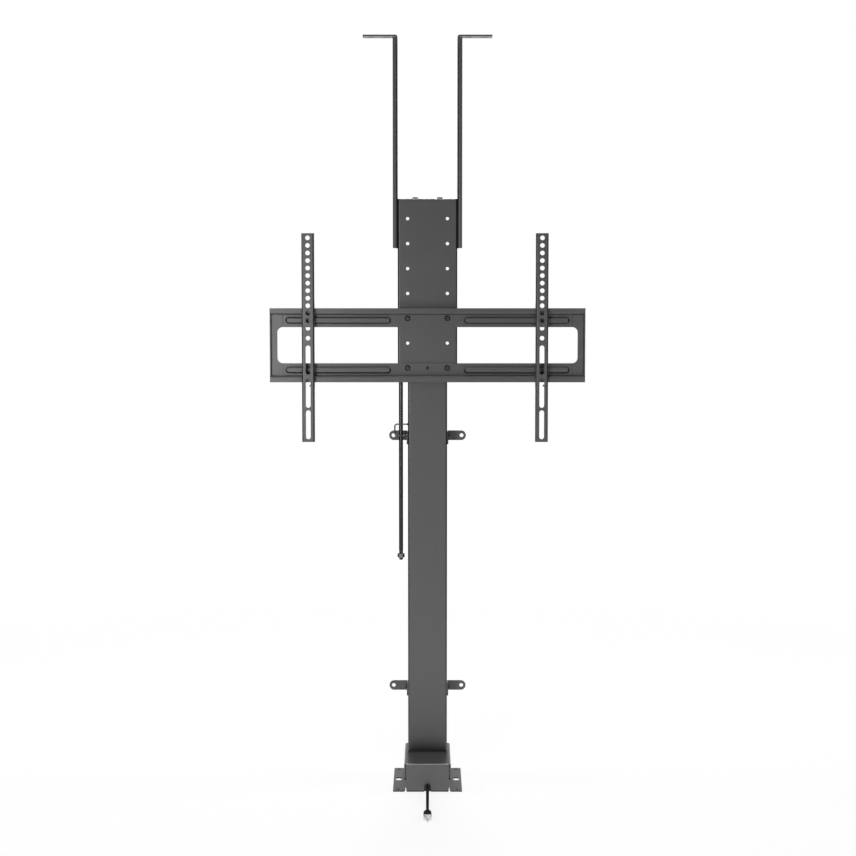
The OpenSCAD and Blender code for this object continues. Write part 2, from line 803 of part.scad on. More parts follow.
// Outline of the plug from above: a round back that widens to the pin face
module plug_outline_2d() {
  intersection() {
    union() {
      translate([0, -plug_w / 2 - plug_neck]) circle(d = plug_w);
      translate([-plug_w / 2, -plug_len]) square([plug_w, plug_len - plug_w / 2 - plug_neck]);
      translate([-cord_d / 2 - 1, -plug_neck - 2]) square([cord_d + 2, plug_neck + 2]);
    }
    translate([-plug_w, -plug_len + plug_face_t]) square([2 * plug_w, plug_len]);
  }
}

module plug_body() {
  color(plastic) translate([0, plug_y, 0]) intersection() {
    linear_extrude(height = plug_h) plug_outline_2d();
    translate([0, -plug_len / 2, plug_h / 2]) along_y(2 * plug_len)
      round_rect_2d(plug_w, plug_h, plug_corner);
  }
}

module plug_face() {
  color("whitesmoke") translate([0, plug_y - plug_len + plug_face_t / 2, plug_h / 2])
    along_y(plug_face_t) round_rect_2d(plug_w, plug_h, plug_corner);
}

module plug_pins() {
  face_y = plug_y - plug_len;
  color("silver") {
    for (sx = [-1, 1]) {
      translate([(sx * blade_pitch - blade_t) / 2, face_y - blade_len, plug_h - blade_w - 1])
        cube([blade_t, blade_len, blade_w]);
    }
    translate([0, 0, ground_pin_d / 2 + 1.3]) rod_y(ground_pin_d, face_y - ground_pin_len, face_y);
  }
}

// Outer column and what is fixed to it

module outer_column() {
  color(coat) difference() {
    translate([0, col_y, base_h]) box_tube(outer_w, outer_d, outer_t, outer_corner, outer_len);
    at_tab_screws() translate([0, 0, -tab_t - outer_t - eps])
      cylinder(d = m5 + 0.4, h = outer_t + 2 * eps);
  }
}

foot_plate_t = 6;
module column_foot_plate() {
  color(steel) difference() {
    translate([0, col_y, base_h]) linear_extrude(height = foot_plate_t)
      outer_bore_2d(face_gap);
    translate([0, col_y, base_h - eps]) cylinder(d = screw_d + 8, h = foot_plate_t + 2 * eps);
    translate([0, 0, base_h - eps]) at_column_screws()
      cylinder(d = m6 + 2 * run_fit, h = foot_plate_t + 2 * eps);
  }
}

// Long screws that clamp the gearbox and the base's top to the foot plate, heads below the cover
column_head_d = 10.5;
module column_screws() {
  shank = base_h + foot_plate_t - 1 - gearbox_cover_z0;
  color(dark_steel) translate([0, 0, gearbox_cover_z0]) at_column_screws()
    rotate([180, 0, 0]) button_screw(m6, column_head_d, m6_button_h, shank);
}

module top_glide_collar() {
  hole_w = inner_w + 2 * slide_gap;
  hole_d = inner_d + 2 * slide_gap;
  color(plastic) translate([0, col_y, outer_top]) difference() {
    union() {
      translate([0, 0, -glide_h]) linear_extrude(height = glide_h + eps)
        outer_bore_2d(face_gap);
      linear_extrude(height = 2) round_rect_2d(outer_w, outer_d, outer_corner);
    }
    translate([0, 0, -glide_h - eps]) linear_extrude(height = glide_h + 2 + 2 * eps)
      round_rect_2d(hole_w, hole_d, inner_corner + slide_gap);
  }
}

// Wall tabs: a strip bent from the column's side towards the wall, with a hanging leg
tab_y1 = col_y + outer_d / 2 - 3;
tab_leg = 30;
tab_drop = 7;
tab_screw_y = tab_y1 - tab_leg + 9;
module wall_tab(side, z) {
  tip_x = outer_w / 2 + tab_reach;
  color(coat_light) mirror([side < 0 ? 1 : 0, 0, 0]) difference() {
    union() {
      // Strip and leg in one bend
      translate([outer_w / 2, tab_y1, z - tab_h / 2]) linear_extrude(height = tab_h)
        mirror([0, 1]) angle_2d(tab_reach - tab_h / 2, tab_leg, tab_t, tab_t + 1);
      translate([tip_x - tab_h / 2, tab_y1 - tab_t, z]) rod_y(tab_h, 0, tab_t);
      // Lower end of the leg
      translate([outer_w / 2 + tab_t / 2, 0, z]) along_x(tab_t)
        polygon([
          [tab_y1 - tab_leg, -tab_h / 2 + eps], [tab_y1 - tab_leg + 4, -tab_h / 2 - tab_drop],
          [tab_y1 - 12, -tab_h / 2 - tab_drop], [tab_y1 - 8, -tab_h / 2 + eps]
        ]);
    }
    translate([tip_x - tab_h / 2 + 1, tab_y1 - tab_t, z]) rod_y(tab_hole_d, -eps, tab_t + eps);
    translate([outer_w / 2, tab_screw_y, z]) rod_x_dir(m5 + 0.4, -eps, tab_t + eps);
  }
}

module at_tab_screws() {
  for (sx = [-1, 1], z = [tab_low_z, tab_low_z + tab_span]) {
    translate([sx * (outer_w / 2 + tab_t), tab_screw_y, z]) rotate([0, sx * 90, 0]) children();
  }
}

module wall_tab_left_upper() {
  wall_tab(-1, tab_low_z + tab_span);
}

module wall_tab_right_upper() {
  wall_tab(1, tab_low_z + tab_span);
}

module wall_tab_left_lower() {
  wall_tab(-1, tab_low_z);
}

module wall_tab_right_lower() {
  wall_tab(1, tab_low_z);
}

module wall_tab_screws() {
  color(dark_steel) at_tab_screws() button_screw(m5, 9, 2.6, tab_t + outer_t - 0.1);
}

// U-shaped wire on the column's left side that keeps the stop rod beside it
wall_rear_y = plate_y + wall_d;
wire_y = wall_rear_y + 10.5;
wire_reach = 27;
wire_r = 5;
module rod_guide_wire() {
  x0 = -outer_w / 2;
  x1 = x0 - wire_reach;
  color(steel) {
    for (z = [wire_z, wire_z - wire_span]) {
      translate([0, wire_y, z]) rod_x_dir(wire_d, x1 + wire_r, x0);
    }
    translate([x1, wire_y, wire_z - wire_span + wire_r]) cylinder(d = wire_d, h = wire_span - 2 * wire_r);
    for (top = [0, 1]) {
      translate([x1 + wire_r, wire_y, top ? wire_z - wire_r : wire_z - wire_span + wire_r])
        rotate([90, 0, 0]) rotate(top ? 90 : 180) rotate_extrude(angle = 90)
          translate([wire_r, 0]) circle(d = wire_d, $fn = 24);
    }
  }
}

// Screw, nut and inner column

module lead_screw() {
  shoulder = gearbox_top - gearbox_wall + seat_gap;
  color(steel) translate([0, col_y, 0]) {
    translate([0, 0, screw_z0]) cylinder(d = bearing_bore_d, h = shoulder - screw_z0 + eps);
    translate([0, 0, shoulder]) cylinder(d = screw_d, h = screw_top - shoulder - 1.5);
    translate([0, 0, screw_top - 1.5]) cylinder(d1 = screw_d, d2 = screw_d - 3, h = 1.5);
  }
}

module inner_column() {
  color(coat_light) translate([0, col_y, inner_z0])
    box_tube(inner_w, inner_d, inner_t, inner_corner, inner_len);
}

module lower_glide_collar() {
  color(plastic) translate([0, col_y, inner_z0]) linear_extrude(height = glide_h) difference() {
    outer_bore_2d(slide_gap);
    round_rect_2d(inner_w + 2 * face_gap, inner_d + 2 * face_gap, inner_corner + face_gap);
  }
}

carrier_h = 20;
nut_d = 22;
module nut_carrier() {
  color(steel) translate([0, col_y, inner_z0]) linear_extrude(height = carrier_h) difference() {
    inner_bore_2d(face_gap);
    circle(d = nut_d + 2 * run_fit);
  }
}

module lift_nut() {
  color(bronze) translate([0, col_y, inner_z0 - nut_flange_h]) difference() {
    union() {
      cylinder(d = nut_d, h = nut_h);
      cylinder(d = nut_d + 16, h = nut_flange_h - face_gap);
    }
    translate([0, 0, -eps]) cylinder(d = screw_d + 2 * run_fit, h = nut_h + 2 * eps);
  }
}

top_bolt_x = 25;
top_plate_t = 6;
module at_top_bolts() {
  for (sx = [-1, 1]) {
    translate([sx * top_bolt_x, col_y, plate_top]) children();
  }
}

module inner_top_plate() {
  color(steel) difference() {
    translate([0, col_y, inner_top - top_plate_t]) linear_extrude(height = top_plate_t)
      inner_bore_2d(face_gap);
    at_top_bolts() translate([0, 0, -plate_t - top_plate_t - eps])
      cylinder(d = m6 + 2 * run_fit, h = top_plate_t + 2 * eps);
  }
}

// Carriage

flange_y1 = col_y + inner_d / 2;

// Solid block with round front corners and a round top front edge, drawn in by an inset
module carriage_block(inset, below) {
  r = plate_bend - inset;
  half = plate_w / 2 - inset;
  y0 = plate_y + inset;
  depth = flange_y1 - y0 + (inset > 0 ? 10 : 0);
  top = plate_top - inset;
  bottom = plate_z0 - below;
  intersection() {
    translate([0, 0, bottom]) linear_extrude(height = top - bottom) {
      translate([-half, y0 + r]) square([2 * half, depth - r]);
      translate([-half + r, y0]) square([2 * half - 2 * r, r]);
      for (sx = [-1, 1]) {
        translate([sx * (half - r), y0 + r]) circle(r = r);
      }
    }
    along_x(2 * plate_w) {
      translate([y0, bottom]) square([r, top - r - bottom]);
      translate([y0 + r, bottom]) square([depth - r, top - bottom]);
      translate([y0 + r, top - r]) circle(r = r);
    }
  }
}

lid_bolt_y = plate_y + 16;
lid_bolt_z = [lid_z0 + lid_bolt_low, lid_z0 + lid_bolt_low + lid_bolt_span];
module at_lid_bolts() {
  for (sx = [-1, 1], z = lid_bolt_z) {
    translate([sx * plate_w / 2, lid_bolt_y, z]) rotate([0, sx * 90, 0]) children();
  }
}

module carriage_plate() {
  hole_z = plate_z0 + plate_first;
  color(coat) difference() {
    carriage_block(0, 0);
    carriage_block(plate_t, 10);
    // Behind the side walls only the top flange runs on
    translate([-plate_w, wall_rear_y, plate_z0 - 5]) cube([2 * plate_w, plate_w, plate_h - plate_t + 5]);
    // Two rows of holes, and the hole of the centre screw
    for (sx = [-1, 1], row = [0:plate_rows - 1]) {
      translate([sx * plate_hole_dx / 2, plate_y, hole_z + row * plate_pitch])
        rod_y(plate_hole_d, -eps, plate_t + eps);
    }
    translate([0, plate_y, hole_z]) rod_y(m4 + 0.4, -eps, plate_t + eps);
    at_top_bolts() translate([0, 0, -plate_t - eps]) cylinder(d = m6 + 0.6, h = plate_t + 2 * eps);
    at_lid_bolts() translate([0, 0, -plate_t - eps]) cylinder(d = m6 + 0.6, h = plate_t + 2 * eps);
  }
}

washer_t = 1.6;
washer_d = 12;
// Thread of the top bolts below the inner column's end plate
top_bolt_past = 4;
module top_washers() {
  color(steel) at_top_bolts() difference() {
    cylinder(d = washer_d, h = washer_t);
    translate([0, 0, -eps]) cylinder(d = m6 + 0.4, h = washer_t + 2 * eps);
  }
}

module top_bolts() {
  color(steel) at_top_bolts() translate([0, 0, washer_t])
    hex_bolt(m6, m6_af, m6_hex_h, washer_t + plate_t + top_plate_t + top_bolt_past);
}

// Stop rod hanging from the carriage's top flange, screwed into a round boss under it

rod_y_pos = wire_y + wire_d / 2 + rod_d / 2 + 1.6;
rod_thread_d = 7.5;
rod_nut_z = rod_tip_z + 5;
rod_nut_h = 8;
rod_nut_af = 12.6;
boss_d = 10.6;
boss_h = 14;
boss_z0 = plate_top - plate_t - face_gap - boss_h;
module rod_boss() {
  color(steel) translate([-rod_x, rod_y_pos, boss_z0]) difference() {
    cylinder(d = boss_d, h = boss_h);
    translate([0, 0, -eps]) cylinder(d = rod_thread_d + 2 * run_fit, h = boss_h - 1);
  }
}

module stop_rod() {
  shaft_z0 = rod_nut_z + rod_nut_h + 6;
  color(dark_steel) translate([-rod_x, rod_y_pos, 0]) {
    translate([0, 0, rod_tip_z]) cylinder(d1 = rod_thread_d - 1.5, d2 = rod_thread_d, h = 1);
    translate([0, 0, rod_tip_z + 1]) cylinder(d = rod_thread_d, h = boss_z0 + boss_h - 3 - rod_tip_z);
    translate([0, 0, shaft_z0]) cylinder(d = rod_d, h = boss_z0 - 5 - shaft_z0);
  }
}

module rod_nut() {
  color(dark_steel) translate([-rod_x, rod_y_pos, rod_nut_z]) hex_nut(rod_thread_d, rod_nut_af, rod_nut_h);
}

// TV bracket

// Upper half of the bracket's section: face, web and lip, drawn in y and z from the bracket's middle
module bracket_half_2d() {
  r = bracket_t + 1;
  web_z = bracket_h / 2 - lip_h;
  translate([bracket_face_y, 0]) square([bracket_t, web_z + bracket_t - r]);
  translate([plate_y - r, web_z + bracket_t - r]) bend_2d(r, bracket_t);
  translate([lip_y + r, web_z]) square([plate_y - lip_y - 2 * r, bracket_t]);
  translate([lip_y + r, web_z + r]) rotate(180) bend_2d(r, bracket_t);
  translate([lip_y, web_z + r]) square([bracket_t, lip_h - r]);
}

// Half of a pressed rib's section with a sloping flank: u from its middle line, v out of the face
module rib_half_2d(half, out, r) {
  crest = half - rib_slope;
  polygon([[0, 0], [half, 0], [crest, out - r], [0, out - r]]);
  square([crest - r, out]);
  translate([crest - r, out - r]) circle(r = r, $fn = 32);
}

// Long rib with round ends, lying along X and standing towards -Y from the origin
module rib(x0, x1, half, out, r) {
  length = x1 - x0 - 2 * half;
  translate([(x0 + x1) / 2, 0, 0]) rotate([90, 0, 0]) {
    for (side = [0, 1]) {
      mirror([0, side, 0]) rotate([90, 0, 90]) linear_extrude(height = length, center = true)
        rib_half_2d(half, out, r);
      mirror([side, 0, 0]) translate([length / 2, 0, 0]) rotate(-90) rotate_extrude(angle = 180)
        rib_half_2d(half, out, r);
    }
  }
}

module at_ribs() {
  for (side = [0, 1], sz = [-1, 1]) {
    mirror([side, 0, 0]) translate([0, bracket_face_y, bracket_z + sz * rib_z]) children();
  }
}

module at_bracket_bolts() {
  for (sx = [-1, 1], sz = [-1, 1]) {
    translate([sx * plate_hole_dx / 2, 0, bracket_bolt_z + sz * plate_pitch]) children();
  }
}

end_pad_w = 23;
rib_crest_r = 1.4;
rib_hollow_r = 0.6;
module tv_bracket() {
  web_z = bracket_h / 2 - lip_h;
  color(coat) difference() {
    union() {
      translate([0, 0, bracket_z]) along_x(bracket_w) for (side = [0, 1]) {
        mirror([0, side]) bracket_half_2d();
      }
      for (sx = [-1, 1]) {
        // Folded end walls, and the corner pads inside them
        translate([sx * (bracket_w / 2 - bracket_t / 2) - bracket_t / 2, lip_y + 0.5, bracket_z - web_z])
          cube([bracket_t, lip_step, 2 * web_z]);
        translate([sx * (bracket_w / 2 - bracket_t - end_pad_w / 2) - end_pad_w / 2, 0, 0])
          translate([0, bracket_face_y - 1, bracket_z - web_z]) cube([end_pad_w, 1 + eps, 2 * web_z]);
      }
      at_ribs() translate([0, eps, 0]) rib(rib_x0, rib_x1, rib_h / 2, rib_out + eps, rib_crest_r);
    }
    // Window
    translate([0, bracket_face_y, bracket_z]) along_y(4 * bracket_t)
      round_rect_2d(bracket_w - 2 * post_w, window_h, window_r);
    // Hollow backs of the ribs
    at_ribs() translate([0, bracket_t + eps, 0])
      rib(rib_x0 + bracket_t, rib_x1 - bracket_t, rib_h / 2 - bracket_t, rib_out + eps, rib_hollow_r);
    at_bracket_bolts() rod_y(plate_hole_d, bracket_face_y - eps, plate_y + eps);
    translate([0, 0, bracket_bolt_z - plate_pitch]) rod_y(m4 + 0.4, bracket_face_y - eps, plate_y + eps);
  }
}

bracket_nut_h = 5;
module bracket_bolts() {
  color(dark_steel) at_bracket_bolts() translate([0, bracket_face_y, 0]) rotate([90, 0, 0])
    button_screw(m6, m6_button_d, m6_button_h, bracket_t + plate_t + bracket_nut_h + 2);
}

module bracket_nuts() {
  color(steel) at_bracket_bolts() translate([0, plate_back_y, 0]) rotate([-90, 0, 0])
    hex_nut(m6, m6_af, bracket_nut_h);
}

module bracket_centre_screw() {
  color(dark_steel) translate([0, bracket_face_y, bracket_bolt_z - plate_pitch]) rotate([90, 0, 0])
    button_screw(m4, 6.6, 2.2, bracket_t + plate_t + 3);
}

// Lid arms: an angle that runs up beside the carriage and folds out into a flange

module lid_arm(side) {
  front_y = plate_y + 1;
  color(coat) mirror([side < 0 ? 1 : 0, 0, 0]) difference() {
    union() {
      translate([lid_x, front_y, lid_z0]) linear_extrude(height = lid_z1 - lid_bend - lid_z0)
        angle_2d(lid_lip, lid_d, lid_t, lid_bend);
      translate([lid_x, front_y + lid_d / 2, lid_z1]) along_y(lid_d)
        mirror([0, 1]) angle_2d(lid_flange, lid_bend + 1, lid_t, lid_bend);
    }
    // Holes for the carriage bolts and slots for the lid's screws
    for (z = lid_bolt_z) {
      translate([lid_x, lid_bolt_y, z]) rod_x_dir(m6 + 0.6, -eps, lid_t + eps);
    }
    for (x = [lid_x + lid_slot_in, lid_x + lid_flange - lid_slot_out]) {
      translate([x, front_y + lid_d / 2, lid_z1 - lid_t - eps])
        linear_extrude(height = lid_t + 2 * eps) slot_2d(lid_slot_l, lid_slot_w);
    }
  }
}

module left_lid_arm() {
  lid_arm(-1);
}

module right_lid_arm() {
  lid_arm(1);
}

module lid_arm_bolts() {
  color(dark_steel) at_lid_bolts() translate([0, 0, face_gap + lid_t])
    button_screw(m6, m6_button_d, m6_button_h, face_gap + lid_t + plate_t + bracket_nut_h + 1);
}

module lid_arm_nuts() {
  color(steel) at_lid_bolts() translate([0, 0, -plate_t]) rotate([180, 0, 0])
    hex_nut(m6, m6_af, bracket_nut_h);
}

// VESA arms: a channel with hooks that drop over the bracket's upper lip and hold its lower lip

hook_gap = 0.4;
hook_t = 4.6;
tongue = 8.5;
arm_slot_z0 = [
  arm_slot_first, arm_slot_first + arm_slot_l + arm_slot_gap,
  arm_slot_first + 2 * arm_slot_l + arm_slot_gap + arm_slot_gap_high
];
// Small tab that stands in from the right flange below the bracket
catch_x = 2.4;
catch_h = 4;
catch_t = 2;
catch_drop = 8.4;

module hook_2d() {
  tip_z = bracket_h / 2;
  y0 = lip_y - hook_gap - 1;
  y1 = lip_y + bracket_t + hook_gap;
  polygon([
    [y0, tip_z + 14], [y1 + hook_t, tip_z + 7], [y1 + hook_t, tip_z - tongue],
    [y1, tip_z - tongue], [y1, tip_z + hook_gap], [y0, tip_z + hook_gap]
  ]);
}

module vesa_arm(x) {
  r = arm_t + 0.5;
  flange_d = arm_out - hook_gap;
  color(coat) translate([x, 0, 0]) difference() {
    union() {
      translate([0, arm_y, arm_z0]) linear_extrude(height = arm_len) for (side = [0, 1]) {
        mirror([side, 0]) translate([-arm_w / 2, 0]) angle_2d(arm_w / 2 + eps, flange_d, arm_t, r);
      }
      for (sx = [-1, 1]) {
        translate([sx * (arm_w - arm_t) / 2, 0, bracket_z]) along_x(arm_t) for (side = [0, 1]) {
          mirror([0, side]) hook_2d();
        }
      }
      translate([catch_x, arm_y + arm_t + 4, bracket_z - bracket_h / 2 - catch_drop])
        cube([arm_w / 2 - catch_x - arm_t + eps, catch_t, catch_h]);
    }
    for (k = [0:arm_holes - 1]) {
      translate([0, arm_y, arm_z0 + arm_len - arm_first - k * arm_pitch])
        rod_y(arm_hole_d, -eps, arm_t + eps);
    }
    translate([0, arm_y, arm_z0 + arm_len - arm_first - arm_single]) rod_y(arm_hole_d, -eps, arm_t + eps);
    for (z = arm_slot_z0) {
      translate([0, arm_y + arm_t / 2, arm_z0 + z + arm_slot_l / 2]) along_y(arm_t + 2 * eps)
        rotate(90) slot_2d(arm_slot_l, arm_slot_w);
    }
  }
}

module left_vesa_arm() {
  vesa_arm(left_arm_x);
}

module right_vesa_arm() {
  vesa_arm(right_arm_x);
}

base_housing();
base_bottom_plate();
bottom_plate_screws();
gearbox_housing();
gearbox_cover();
screw_bearings();
worm_bearings();
motor_can();
motor_end_cap();
motor_magnets();
control_box();
control_box_lid();
circuit_board();
cord_gland();
cord_relief();
power_cord();
plug_body();
plug_face();
plug_pins();
outer_column();
column_foot_plate();
column_screws();
top_glide_collar();
wall_tab_left_upper();
wall_tab_right_upper();
wall_tab_left_lower();
wall_tab_right_lower();
wall_tab_screws();
rod_guide_wire();
lead_screw();
worm_wheel();
worm_shaft();
motor_rotor();
inner_column();
lower_glide_collar();
nut_carrier();
lift_nut();
inner_top_plate();
carriage_plate();
top_bolts();
top_washers();
tv_bracket();
bracket_bolts();
bracket_nuts();
bracket_centre_screw();
left_lid_arm();
right_lid_arm();
lid_arm_bolts();
lid_arm_nuts();
rod_boss();
stop_rod();
rod_nut();
left_vesa_arm();
right_vesa_arm();
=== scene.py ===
import math

import bmesh
import bpy
from mathutils import Matrix, Vector


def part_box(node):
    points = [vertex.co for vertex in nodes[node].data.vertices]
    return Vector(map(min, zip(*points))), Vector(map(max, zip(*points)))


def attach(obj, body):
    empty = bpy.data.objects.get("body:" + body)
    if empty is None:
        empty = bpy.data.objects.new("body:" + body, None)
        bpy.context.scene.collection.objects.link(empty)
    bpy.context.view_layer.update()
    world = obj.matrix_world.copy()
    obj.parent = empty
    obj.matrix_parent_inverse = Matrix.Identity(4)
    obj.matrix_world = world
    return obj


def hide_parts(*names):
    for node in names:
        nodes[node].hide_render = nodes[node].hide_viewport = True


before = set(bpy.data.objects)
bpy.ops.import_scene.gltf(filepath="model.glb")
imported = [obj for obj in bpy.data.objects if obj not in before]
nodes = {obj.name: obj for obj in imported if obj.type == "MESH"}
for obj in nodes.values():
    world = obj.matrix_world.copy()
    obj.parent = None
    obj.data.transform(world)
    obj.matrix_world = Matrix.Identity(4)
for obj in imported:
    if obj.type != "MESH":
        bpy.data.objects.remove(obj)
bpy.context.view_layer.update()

# Camera
# The lift is photographed straight from the front with a long lens, a little below the carriage's
# top and pitched slightly down, so the feet and the base's top show and the lid flanges show from below.
camera_data = bpy.data.cameras.new("photo_camera")
camera_data.sensor_width = 36
camera_data.lens = 75.7
camera = bpy.data.objects.new("photo_camera", camera_data)
camera.location = (0.001, -3.648, 0.989)
camera.rotation_euler = (math.radians(85.9), 0, 0)
bpy.context.scene.collection.objects.link(camera)
bpy.context.scene.camera = camera


# Power cord
# A short black mains cord with a soft vinyl jacket. It leaves the moulded relief in the front of the
# base, sags to the floor and runs straight to the front.
class Value:
    """An output of a node. Sums and products of outputs add the nodes that make them."""

    def __init__(self, maker, socket):
        self.maker = maker
        self.socket = socket

    def math(self, operation, *numbers):
        return self.maker.node("ShaderNodeMath", {"operation": operation}, list(numbers))

    def __add__(self, other):
        return self.math("ADD", self, other)

    def __sub__(self, other):
        return self.math("SUBTRACT", self, other)

    def __rsub__(self, other):
        return self.math("SUBTRACT", other, self)

    def __mul__(self, other):
        return self.math("MULTIPLY", self, other)

    __radd__ = __add__
    __rmul__ = __mul__

    def between(self, low, high):
        """0 below low, 1 above high, and a smooth ramp between them."""
        settings = {"interpolation_type": "SMOOTHSTEP"}
        inputs = {"Value": self, "From Min": low, "From Max": high}
        return self.maker.node("ShaderNodeMapRange", settings, inputs)


class Nodes:
    """The nodes of a material or of the studio's surroundings, all made by one method."""

    def __init__(self, tree):
        self.tree = tree

    def put(self, socket, value):
        if isinstance(value, Value):
            self.tree.links.new(value.socket, socket)
        else:
            socket.default_value = value

    def node(self, kind, settings=None, inputs=None, output=0):
        made = self.tree.nodes.new(kind)
        for name, value in (settings or {}).items():
            setattr(made, name, value)
        pairs = enumerate(inputs) if isinstance(inputs, list) else (inputs or {}).items()
        for name, value in pairs:
            self.put(made.inputs[name], value)
        return Value(self, made.outputs[output])


class Finish(Nodes):
    """A material with one principled shader."""

    def __init__(self, name, color, roughness, metallic=0.0):
        self.material = bpy.data.materials.new(name)
        self.material.use_nodes = True
        super().__init__(self.material.node_tree)
        self.shader = self.tree.nodes["Principled BSDF"]
        self.color = color
        self.set("Base Color", (*color, 1))
        self.set("Roughness", roughness)
        self.set("Metallic", metallic)

    def set(self, socket, value):
        self.put(self.shader.inputs[socket], value)

    def place(self):
        """The point of the surface in the part's own frame."""
        return self.node("ShaderNodeTexCoord", output="Object")

    def noise(self, scale, detail=2, roughness=0.5, stretch=None):
        """Soft random pattern from 0 to 1, scale lumps to the metre, stretched by axis if asked."""
        point = self.place()
        if stretch:
            point = self.node("ShaderNodeVectorMath", {"operation": "MULTIPLY"}, [point, stretch])
        inputs = {"Vector": point, "Scale": scale, "Detail": detail, "Roughness": roughness}
        return self.node("ShaderNodeTexNoise", None, inputs)

    def tint(self, amount, other):
        """Mixes the color that the surface has so far towards another one."""
        so_far = self.color if isinstance(self.color, Value) else (*self.color, 1)
        inputs = {0: amount, 6: so_far, 7: (*other, 1)}
        self.color = self.node("ShaderNodeMix", {"data_type": "RGBA"}, inputs, output=2)
        self.set("Base Color", self.color)

    def crease_shade(self, reach, alone=True, low=0.3, high=0.75):
        """1 deep in inner corners, 0 on open faces; the mask of painted shade. Alone, only the piece's
        own faces count.
        """
        settings = {"samples": 8, "only_local": alone}
        open_air = self.node("ShaderNodeAmbientOcclusion", settings, {"Distance": reach}, output="AO")
        return (1 - open_air).between(low, high)

    def axes(self, vector):
        """The x, y and z of a vector."""
        return [self.node("ShaderNodeSeparateXYZ", None, [vector], output=k) for k in range(3)]

    def facing(self):
        """How much the surface faces along x, y and z, either way."""
        normal = self.node("ShaderNodeTexCoord", output="Normal")
        return self.axes(self.node("ShaderNodeVectorMath", {"operation": "ABSOLUTE"}, [normal]))

    def bends(self):
        """1 on bends and pressed steps that face sideways or down, and 1 on those that face up."""
        x, y, z = self.facing()
        flat = x.math("MAXIMUM", x.math("MAXIMUM", x, y), z)
        turned_away = (1 - flat).between(0.02, 0.12)
        upward = self.axes(self.node("ShaderNodeTexCoord", output="Normal"))[2].between(0.1, 0.4)
        return turned_away * (1 - upward), turned_away * upward

    def bump(self, height, depth, radius=None):
        """Fine relief of the given depth in metres over faces whose edges look rounded by radius."""
        inputs = {"Height": height, "Strength": 1.0, "Distance": depth}
        if radius:
            inputs["Normal"] = self.node("ShaderNodeBevel", {"samples": 4}, {"Radius": radius})
        self.set("Normal", self.node("ShaderNodeBump", None, inputs))


def paint(obj, finish):
    """Gives every material slot of a piece one finish."""
    if not obj.material_slots:
        obj.data.materials.append(finish.material)
    for slot in obj.material_slots:
        slot.material = finish.material


vinyl = Finish("black_vinyl", (0.006, 0.006, 0.0065), 0.46)
vinyl.tint(vinyl.noise(60, 3) * 0.6, (0.013, 0.013, 0.014))
vinyl.bump(vinyl.noise(1600, 2), 0.000004)
vinyl.set("Specular IOR Level", 0.3)

cord_diameter = 0.006
cord_route_mm = [
    (0, -130, 10), (0, -138, 9.6), (0, -146, 8.6), (0, -154, 7.2), (0, -162, 5.8), (0, -170, 4.6),
    (0, -178, 3.7), (0, -186, 3.2), (0, -194, 3.1), (0, -202, 3.1), (0, -210, 3.2), (0, -218, 3.6),
    (0, -226, 4.3), (0, -234, 5.2), (0, -240, 5.9), (0, -246, 6.2),
]
cord_points = [Vector(point) / 1000 for point in cord_route_mm]
cord_data = bpy.data.curves.new("power_cord_jacket", "CURVE")
cord_data.dimensions = "3D"
cord_data.bevel_depth = cord_diameter / 2
cord_data.bevel_resolution = 7
cord_data.resolution_u = 6
cord_data.use_fill_caps = True
cord_line = cord_data.splines.new("BEZIER")
cord_line.bezier_points.add(len(cord_points) - 1)
for knot, point in zip(cord_line.bezier_points, cord_points):
    knot.co = point
    knot.handle_left_type = knot.handle_right_type = "AUTO"
cord = bpy.data.objects.new("power_cord_jacket", cord_data)
bpy.context.scene.collection.objects.link(cord)
paint(cord, vinyl)
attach(cord, "base")
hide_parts("power_cord")


# Strain relief
# A tapered sleeve of soft plastic moulded over the cord, with bending grooves round it, that leaves
# the gland in the base's front panel.
def finished(bm, name, finish, body):
    """Makes a smooth object of a bmesh in the part's frame, paints it and lets it ride on a body."""
    bmesh.ops.remove_doubles(bm, verts=bm.verts[:], dist=0.000001)
    bmesh.ops.recalc_face_normals(bm, faces=bm.faces[:])
    data = bpy.data.meshes.new(name)
    bm.to_mesh(data)
    bm.free()
    for face in data.polygons:
        face.use_smooth = True
    obj = bpy.data.objects.new(name, data)
    bpy.context.scene.collection.objects.link(obj)
    paint(obj, finish)
    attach(obj, body)
    return obj


def turned(bm, profile, centre, axis, steps=32):
    """Spins a profile of (distance along the axis, radius) pairs round the axis."""
    along = Vector(axis).normalized()
    across = along.orthogonal().normalized()
    points = [centre + along * t + across * r for t, r in profile]
    verts = [bm.verts.new(point) for point in points]
    edges = [bm.edges.new(pair) for pair in zip(verts, verts[1:])]
    bmesh.ops.spin(
        bm, geom=verts + edges, cent=centre, axis=along, angle=math.tau, steps=steps, use_merge=True
    )


def soften(obj, name, width):
    """Rounds the sharp edges of a piece by a bevel of this width."""
    rounding = obj.modifiers.new(name, "BEVEL")
    rounding.width = width
    rounding.segments = 2
    rounding.limit_method = "ANGLE"


relief_low, relief_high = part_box("cord_relief")
relief_start = relief_high.y
relief_end = relief_low.y
relief_z = (relief_low.z + relief_high.z) / 2
relief_r = (relief_high.z - relief_low.z) / 2
relief_length = relief_start - relief_end
relief_tip_r = 0.0032
relief_rim = 0.0003
relief_tip_rim = 0.0002
groove_count = 7
groove_depth = 0.0006
groove_w = 0.0016
grooves_start = 0.3
grooves_share = 0.62


def relief_radius(t):
    """The sleeve's radius at this distance from the gland."""
    return relief_r + (relief_tip_r - relief_r) * t / relief_length


